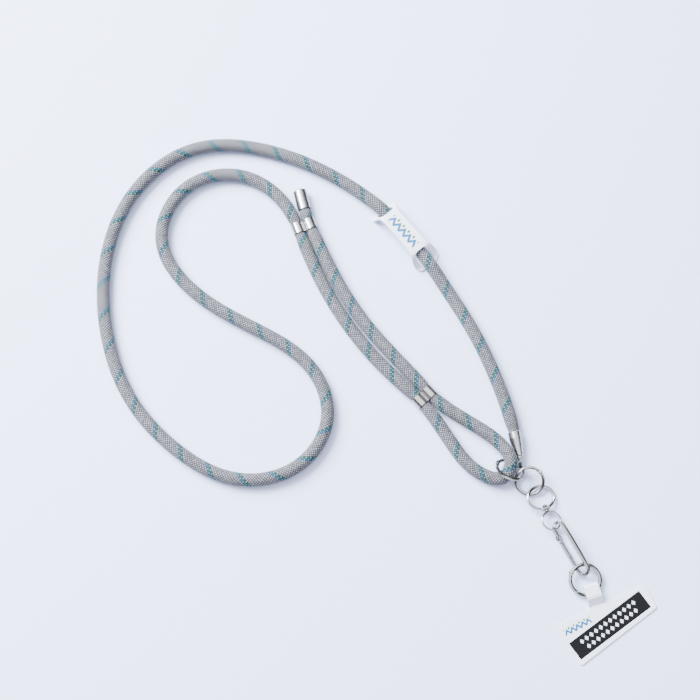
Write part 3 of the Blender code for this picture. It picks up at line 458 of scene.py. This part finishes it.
def principled(name, colour, roughness, metallic=0.0):
    made = bpy.data.materials.new(name)
    made.use_nodes = True
    shader = made.node_tree.nodes["Principled BSDF"]
    shader.inputs["Base Color"].default_value = (*colour, 1.0)
    shader.inputs["Roughness"].default_value = roughness
    shader.inputs["Metallic"].default_value = metallic
    return made, made.node_tree, shader


def only(tree, value, wanted):
    """1 where value is the whole number wanted."""
    return maths(tree, "COMPARE", value, float(wanted), 0.25)


rope_material, tree, shader = principled("braided yarn", GREY_YARN, YARN_ROUGHNESS)
uv = node(tree, "ShaderNodeUVMap", uv_map="Weave")
weave = node(tree, "ShaderNodeGroup")
weave.node_tree = braid
tree.links.new(uv.outputs[0], weave.inputs[0])
colour = mix(tree, weave.outputs["Random"], DARK_GREY_YARN, GREY_YARN)
for number, yarn, crossing in TRACERS:
    tinted = mix(tree, weave.outputs["Right hand"], yarn, crossing)
    colour = mix(tree, only(tree, weave.outputs["Left strand"], number), colour, tinted)
lit = maths(tree, "POWER", weave.outputs["Height"], SHADOW_NARROWNESS)
colour = mix(tree, lit, YARN_SHADOW, colour)
tree.links.new(colour, shader.inputs["Base Color"])
bump = node(tree, "ShaderNodeBump")
bump.inputs["Strength"].default_value = BUMP_STRENGTH
bump.inputs["Distance"].default_value = BUMP_DISTANCE
tree.links.new(weave.outputs["Height"], bump.inputs["Height"])
tree.links.new(bump.outputs[0], shader.inputs["Normal"])
shader.inputs["Sheen Weight"].default_value = YARN_SHEEN
rope.data.materials.append(rope_material)
print("rope material", len(tree.nodes), "nodes")

# %% [markdown]
# The CAD rope is a plain smooth tube. The braided cover stands for it in pictures, while the
# plain tube stays in the model for collisions.

# %% The cover takes the rope's place
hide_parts("rope")
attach(rope, "strap")
print("the braided cover replaces the plain rope")

# %% [markdown]
# ## Metal
#
# The fittings are die-cast zinc with a bright nickel plate. The sliders, the cap and the cone are
# a little duller than the rings. A metal shows little besides its reflections, so base colour and
# roughness are all that is set here, and the studio further down does the rest.

# %% Metals
BRIGHT_METAL = (0.37, 0.355, 0.335)
BRIGHT_ROUGHNESS = 0.2
SATIN_METAL = (0.44, 0.43, 0.42)
SATIN_ROUGHNESS = 0.26
bright_metal = principled("bright nickel", BRIGHT_METAL, BRIGHT_ROUGHNESS, 1.0)[0]
satin_metal = principled("satin nickel", SATIN_METAL, SATIN_ROUGHNESS, 1.0)[0]
print("metals", BRIGHT_METAL, SATIN_METAL)

# %% [markdown]
# ## Print
#
# The tab and the tag are screen printed. The tab has a black panel with two rows of white
# lozenges, and beside it a blue zigzag with green dots. The tag has a larger zigzag. Each motif
# is a node group of simple sums, so it stays sharp and needs no picture. A group is fed with
# numbers from -0.5 to 0.5 across its printed field.

# %% Panel group
LOZENGES = 15.0
# Height of each row, its shift along by a part of a lozenge, and how many lozenges lie each side
LOZENGE_ROWS = ((0.19, 0.0, 6.0), (-0.19, 0.5, 5.5))
LOZENGE_HALF_LENGTH = 0.35
LOZENGE_STEEPNESS = 2.625


def within(tree, value, half):
    """1 where value lies between -half and half."""
    return maths(tree, "LESS_THAN", maths(tree, "ABSOLUTE", value), half)


def all_of(tree, *masks):
    joined = masks[0]
    for mask in masks[1:]:
        joined = maths(tree, "MULTIPLY", joined, mask)
    return joined


def distance(tree, value, middle):
    return maths(tree, "ABSOLUTE", maths(tree, "SUBTRACT", value, middle))


panel_group, result, x, y = new_group("printed panel", "Place", ("Panel", "Marks"))
panel = all_of(panel_group, within(panel_group, x, 0.5), within(panel_group, y, 0.5))
marks = 0.0
for row, shift, each_side in LOZENGE_ROWS:
    along = maths(panel_group, "FRACT", maths(panel_group, "MULTIPLY_ADD", x, LOZENGES, shift))
    off_row = maths(panel_group, "MULTIPLY", distance(panel_group, y, row), LOZENGE_STEEPNESS)
    off_middle = maths(panel_group, "ADD", distance(panel_group, along, 0.5), off_row)
    lozenge = maths(panel_group, "LESS_THAN", off_middle, LOZENGE_HALF_LENGTH)
    row_marks = all_of(panel_group, lozenge, within(panel_group, x, each_side / LOZENGES))
    marks = maths(panel_group, "MAXIMUM", marks, row_marks)
panel_group.links.new(panel, result.inputs["Panel"])
panel_group.links.new(all_of(panel_group, marks, panel), result.inputs["Marks"])
print("panel group", len(panel_group.nodes), "nodes")

# %% Zigzag group
WAVES = 5.0
ZIGZAG_RISE = 1.1
ZIGZAG_LOW = -0.42
ZIGZAG_HALF_WIDTH = 0.21
DOT_LEVEL = 0.28
DOT_SIZE = 0.2
zigzag_group, result, x, y = new_group("printed zigzag", "Place", ("Line", "Dots"))
wave = maths(zigzag_group, "FRACT", maths(zigzag_group, "MULTIPLY", x, WAVES))
rise = distance(zigzag_group, wave, 0.5)
line_level = maths(zigzag_group, "MULTIPLY_ADD", rise, ZIGZAG_RISE, ZIGZAG_LOW)
off_line = maths(zigzag_group, "SUBTRACT", line_level, y)
line = within(zigzag_group, off_line, ZIGZAG_HALF_WIDTH)
off_dot = maths(zigzag_group, "ADD", rise, distance(zigzag_group, y, DOT_LEVEL))
dots = maths(zigzag_group, "LESS_THAN", off_dot, DOT_SIZE)
inside = all_of(zigzag_group, within(zigzag_group, x, 0.5), within(zigzag_group, y, 0.5))
zigzag_group.links.new(all_of(zigzag_group, line, inside), result.inputs["Line"])
zigzag_group.links.new(all_of(zigzag_group, dots, inside), result.inputs["Dots"])
print("zigzag group", len(zigzag_group.nodes), "nodes")

# %% [markdown]
# ## Printed plastic
#
# The tab is cut from a soft white sheet under a millimetre thick, and the tag is moulded from a
# like plastic. A mapping node turns the piece's own coordinates into the field of a print, so the
# print stays where it is when the piece moves. The tab's ink is on the upper face only.

# %% Printed fields
# Middle, length and height in millimetres before the shift, and the turn in degrees
TAB_PANEL = (149.35, -163.75, 51.2, 11.4, 36.0)
TAB_ZIGZAG = (130.6, -164.2, 17.0, 4.6, 28.0)
TAG_ZIGZAG = (32.7, 72.05, 23.0, 6.5, -50.2)


def own_place(tree):
    return node(tree, "ShaderNodeTexCoord").outputs["Object"]


def print_field(tree, group, field):
    """A print group that is fed with the piece's own coordinates, moved to the field."""
    x, y, length, height, turn = field
    place = node(tree, "ShaderNodeMapping", vector_type="TEXTURE")
    place.inputs["Location"].default_value = Vector((x, y, 0.0)) * MM + SHIFT
    place.inputs["Rotation"].default_value = (0.0, 0.0, turn * DEG)
    place.inputs["Scale"].default_value = (length * MM, height * MM, 1.0)
    tree.links.new(own_place(tree), place.inputs[0])
    made = node(tree, "ShaderNodeGroup")
    made.node_tree = group
    tree.links.new(place.outputs[0], made.inputs[0])
    return made.outputs[0], made.outputs[1]


print("printed fields", TAB_PANEL[2:4], TAB_ZIGZAG[2:4], TAG_ZIGZAG[2:4], "mm")

# %% Tab plastic
WHITE_PLASTIC = (0.80, 0.80, 0.88)
PRINT_BLACK = (0.004, 0.004, 0.005)
PRINT_WHITE = (0.70, 0.70, 0.72)
PRINT_BLUE = (0.0, 0.11, 0.26)
PRINT_GREEN = (0.03, 0.16, 0.01)
TAB_PRINT_HEIGHT = 0.5 * MM
TAB_ROUGHNESS = 0.45
TAB_GLOSS = 0.1
tab_plastic, tree, shader = principled("printed tab plastic", WHITE_PLASTIC, TAB_ROUGHNESS)
split = node(tree, "ShaderNodeSeparateXYZ")
tree.links.new(own_place(tree), split.inputs[0])
upper_face = maths(tree, "GREATER_THAN", split.outputs[2], TAB_PRINT_HEIGHT)
line, dots = print_field(tree, zigzag_group, TAB_ZIGZAG)
panel, marks = print_field(tree, panel_group, TAB_PANEL)
colour = WHITE_PLASTIC
for mask, ink in ((line, PRINT_BLUE), (dots, PRINT_GREEN), (panel, PRINT_BLACK), (marks, PRINT_WHITE)):
    colour = mix(tree, all_of(tree, mask, upper_face), colour, ink)
tree.links.new(colour, shader.inputs["Base Color"])
shader.inputs["Specular IOR Level"].default_value = TAB_GLOSS
print("tab plastic", len(tree.nodes), "nodes")

# %% Tag plastic
TAG_ROUGHNESS = 0.3
tag_plastic, tree, shader = principled("printed tag plastic", WHITE_PLASTIC, TAG_ROUGHNESS)
line, dots = print_field(tree, zigzag_group, TAG_ZIGZAG)
colour = WHITE_PLASTIC
for mask, ink in ((line, PRINT_BLUE), (dots, PRINT_GREEN)):
    colour = mix(tree, mask, colour, ink)
tree.links.new(colour, shader.inputs["Base Color"])
print("tag plastic", len(tree.nodes), "nodes")

# %% [markdown]
# ## The fittings get their finishes
#
# The shapes of the fittings come from the CAD and stay as they are. Round wire and turned faces
# are made of flat strips there. Edges that turn by less than 50 degrees are shaded as round ones,
# and the sharper edges stay crisp, as on a real casting.

# %% Materials on the fittings
SHARP_EDGE = 50.0 * DEG
SATIN_PIECES = ("rope_end_cap", "top_slider", "lower_slider", "cone_ferrule")
WHITE_PIECES = {"name_tag": tag_plastic, "tether_tab": tab_plastic}
for name, piece in nodes.items():
    if name == "rope":
        continue
    piece.data.materials.clear()
    piece.data.shade_smooth()
    piece.data.set_sharp_from_angle(angle=SHARP_EDGE)
    if name in SATIN_PIECES:
        piece.data.materials.append(satin_metal)
    elif name in WHITE_PIECES:
        piece.data.materials.append(WHITE_PIECES[name])
    else:
        piece.data.materials.append(bright_metal)
print("materials on", len(nodes) - 1, "pieces")

# %% [markdown]
# ## The rope as a cord
# A real rope bends, and the sliders, the cap and the tag sit on it and go where it goes.

# %% [markdown]
# ## Table
#
# The strap lies on a smooth white sheet. Its colour is a pale blue, which reads as a cool white
# under strong light. The sheet is far larger than the strap, so that no edge shows from the front.

# %% Table
TABLE_COLOUR = (0.70, 0.745, 1.0)
TABLE_ROUGHNESS = 0.7
TABLE_SIZE = 6.0
TABLE_LEVEL = -0.2 * MM
bpy.ops.mesh.primitive_plane_add(size=TABLE_SIZE, location=(0.0, 0.0, TABLE_LEVEL))
table = bpy.context.object
table.name = "table"
table_material = principled("pale table", TABLE_COLOUR, TABLE_ROUGHNESS)[0]
table.data.materials.append(table_material)
print("table", TABLE_SIZE, "m wide")

# %% [markdown]
# ## Studio
#
# Polished wire is a mirror, so what it mirrors makes its look. An even white surround would leave
# it flat and grey. Here a bright ceiling hangs over dark walls, and the wire shows them as a
# bright line between two dark ones. The surround is a colour ramp over the height above the
# horizon, which needs no picture of a room.

# %% Studio
STUDIO_STRENGTH = 3.4
DARK_WALL = (0.03, 0.025, 0.02)
BRIGHT_CEILING = (0.86, 0.91, 1.0)
GREY_FLOOR = (0.25, 0.25, 0.26)
# Sine of the height above the horizon, colour
STUDIO_BANDS = [
    (0.0, GREY_FLOOR), (0.06, DARK_WALL), (0.70, DARK_WALL), (0.80, BRIGHT_CEILING),
]
world = bpy.data.worlds.new("studio")
scene.world = world
world.use_nodes = True
tree = world.node_tree
background = tree.nodes["Background"]
background.inputs[1].default_value = STUDIO_STRENGTH
split = node(tree, "ShaderNodeSeparateXYZ")
tree.links.new(node(tree, "ShaderNodeTexCoord").outputs["Generated"], split.inputs[0])
bands = node(tree, "ShaderNodeValToRGB")
tree.links.new(split.outputs[2], bands.inputs[0])
while len(bands.color_ramp.elements) < len(STUDIO_BANDS):
    bands.color_ramp.elements.new(0.5)
for element, (level, colour) in zip(bands.color_ramp.elements, STUDIO_BANDS):
    element.position = level
    element.color = (*colour, 1.0)
tree.links.new(bands.outputs[0], background.inputs[0])
print("studio", len(STUDIO_BANDS), "bands")

# %% [markdown]
# ## Window light
#
# A wide window stands to the left and behind the strap. One large square lamp does its work: the
# larger the lamp, the softer the edge of the shadow that each rope throws to the right.

# %% Window light
WINDOW_PLACE = (-1.0, 0.75, 1.1)
WINDOW_SIZE = 1.0
WINDOW_POWER = 185.0
WINDOW_COLOUR = (0.84, 0.91, 1.0)
window_light = bpy.data.lights.new("window", "AREA")
window_light.energy = WINDOW_POWER
window_light.size = WINDOW_SIZE
window_light.color = WINDOW_COLOUR
window = bpy.data.objects.new("window", window_light)
scene.collection.objects.link(window)
window.location = WINDOW_PLACE
window.rotation_euler = (-Vector(WINDOW_PLACE)).to_track_quat("-Z", "Y").to_euler()
print("window light", WINDOW_POWER, "W")
